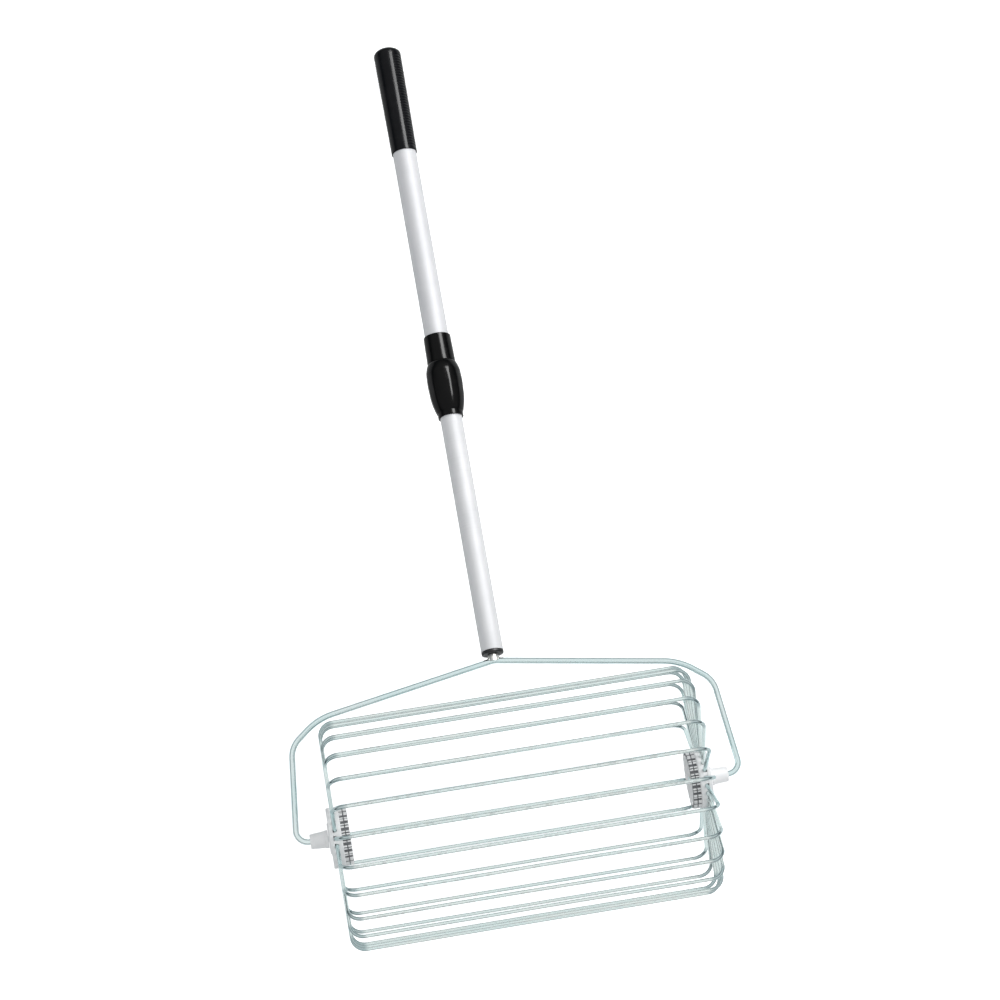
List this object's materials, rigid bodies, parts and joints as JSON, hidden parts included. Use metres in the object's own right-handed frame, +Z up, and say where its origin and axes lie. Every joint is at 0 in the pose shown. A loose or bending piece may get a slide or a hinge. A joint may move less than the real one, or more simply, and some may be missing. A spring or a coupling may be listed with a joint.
{
  "type": "tennis ball retriever",
  "caption": "Roller cage of bent wires that turns in a bent-rod yoke, on a telescopic pole with a twist lock and a rubber grip.",
  "frame": {"origin": "on the floor, under the middle of the object's box at rest", "axes": "+X along the cage's axis, to the right in the picture; +Y from the cage towards the grip; +Z up"},
  "size_m": [0.5992, 1.2654, 0.3024],
  "materials": {
    "cage_wire": "bright plated, a little uneven",
    "yoke_rod": "bright plated",
    "zinc_steel": "zinc plated",
    "white_plastic": "moulded, satin",
    "natural_plastic": "moulded, satin",
    "black_plastic": "moulded, satin",
    "gloss_black": "moulded, gloss",
    "tube_aluminium": "satin, drawn",
    "grip_rubber": "ribbed, matt"
  },
  "bodies": {
    "frame": {"axle_bushing_left": "white_plastic", "axle_bushing_right": "white_plastic", "axle_retainer_left": "zinc_steel", "axle_retainer_right": "zinc_steel", "glide_plug": "black_plastic", "lower_tube": "tube_aluminium", "stem_nut": "zinc_steel", "tube_plug": "black_plastic", "yoke": "yoke_rod", "yoke_stem": "zinc_steel"},
    "handle": {"grip": "grip_rubber", "lock_collet": "natural_plastic", "lock_sleeve": "gloss_black", "upper_tube": "tube_aluminium"},
    "cage": {"hub_body_left": "white_plastic", "hub_body_right": "white_plastic", "hub_cover_left": "white_plastic", "hub_cover_right": "white_plastic", "hub_screw_left_1": "zinc_steel", "hub_screw_left_2": "zinc_steel", "hub_screw_left_3": "zinc_steel", "hub_screw_right_1": "zinc_steel", "hub_screw_right_2": "zinc_steel", "hub_screw_right_3": "zinc_steel", "wire_01": "cage_wire", "wire_02": "cage_wire", "wire_03": "cage_wire", "wire_04": "cage_wire", "wire_05": "cage_wire", "wire_06": "cage_wire", "wire_07": "cage_wire", "wire_08": "cage_wire", "wire_09": "cage_wire", "wire_10": "cage_wire", "wire_11": "cage_wire", "wire_12": "cage_wire", "wire_13": "cage_wire", "wire_14": "cage_wire", "wire_15": "cage_wire", "wire_16": "cage_wire", "wire_17": "cage_wire", "wire_18": "cage_wire", "wire_19": "cage_wire", "wire_20": "cage_wire", "wire_21": "cage_wire", "wire_22": "cage_wire", "wire_23": "cage_wire", "wire_24": "cage_wire"},
    "lock_nut": {"lock_nut": "gloss_black"}
  },
  "joints": [
    {"name": "cage_spin", "type": "hinge", "parent": "frame", "child": "cage", "pos_m": [0, -0.48142, 0.15119], "axis": [1, 0, 0], "continuous": true},
    {"name": "handle_slide", "type": "slide", "parent": "frame", "child": "handle", "axis": [0, 0.9929, -0.1188], "range_m": [-0.29, 0.12]},
    {"name": "lock_twist", "type": "hinge", "parent": "handle", "child": "lock_nut", "pos_m": [0, 0.07005, 0.08522], "axis": [0, 0.9929, -0.1188], "range_deg": [0, 90]}
  ]
}
